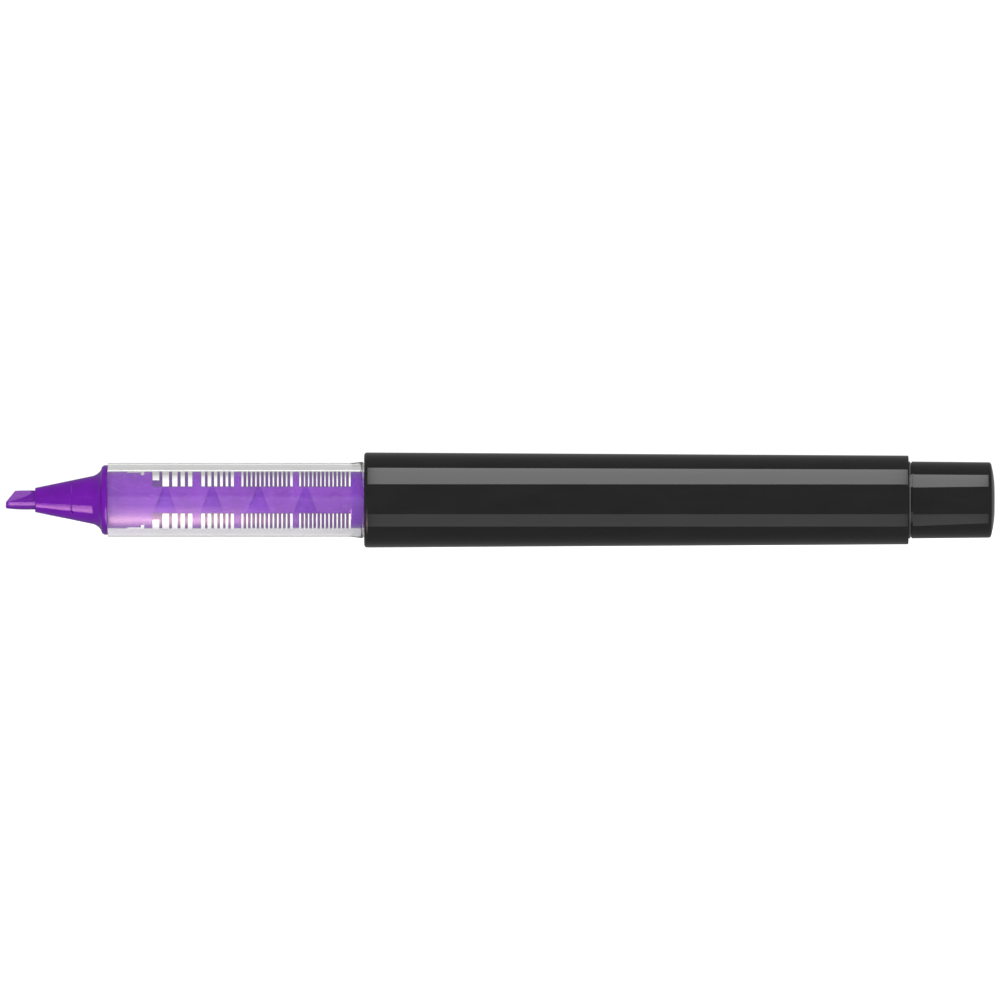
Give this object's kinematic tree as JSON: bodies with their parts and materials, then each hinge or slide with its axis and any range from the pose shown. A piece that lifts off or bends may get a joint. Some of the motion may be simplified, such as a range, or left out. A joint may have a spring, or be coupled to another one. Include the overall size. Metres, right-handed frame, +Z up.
{
  "type": "highlighter",
  "caption": "Uncapped free-ink highlighter: slanted chisel nib, nose cone, clear section over a finned ink collector, tapered barrel with a stepped end plug.",
  "frame": {"origin": "on the pen's axis, halfway between the nib's tip and the end plug's end", "axes": "+X along the axis from the nib to the end plug, +Z up with the pen lying down; the nib's slanted chisel is foremost on the -Y, -Z side"},
  "size_m": [0.135, 0.013, 0.013],
  "materials": {
    "nib_felt": "bonded fibre soaked with purple ink",
    "purple_plastic": "glossy moulded plastic",
    "clear_plastic": "clear moulded plastic, polished",
    "collector_plastic": "moulded plastic wetted with purple ink",
    "wick_fibre": "bundled fibre soaked with purple ink",
    "seal_rubber": "matt black rubber",
    "tank_plastic": "milky translucent plastic",
    "ink_liquid": "liquid purple ink",
    "black_plastic": "glossy black moulded plastic",
    "grey_seal": "dark grey soft plastic"
  },
  "bodies": {
    "holder": {"barrel": "black_plastic", "plug_seal": "grey_seal", "end_plug": "black_plastic"},
    "ink_unit": {"nib": "nib_felt", "nose_cone": "purple_plastic", "clear_sleeve": "clear_plastic", "ink_collector": "collector_plastic", "feed_wick": "wick_fibre", "tank_seal": "seal_rubber", "ink_tank": "tank_plastic", "ink": "ink_liquid"}
  },
  "joints": [
    {"name": "ink_unit_pull", "type": "slide", "parent": "holder", "child": "ink_unit", "axis": [-1, 0, 0], "range_m": [0, 0.058]}
  ]
}
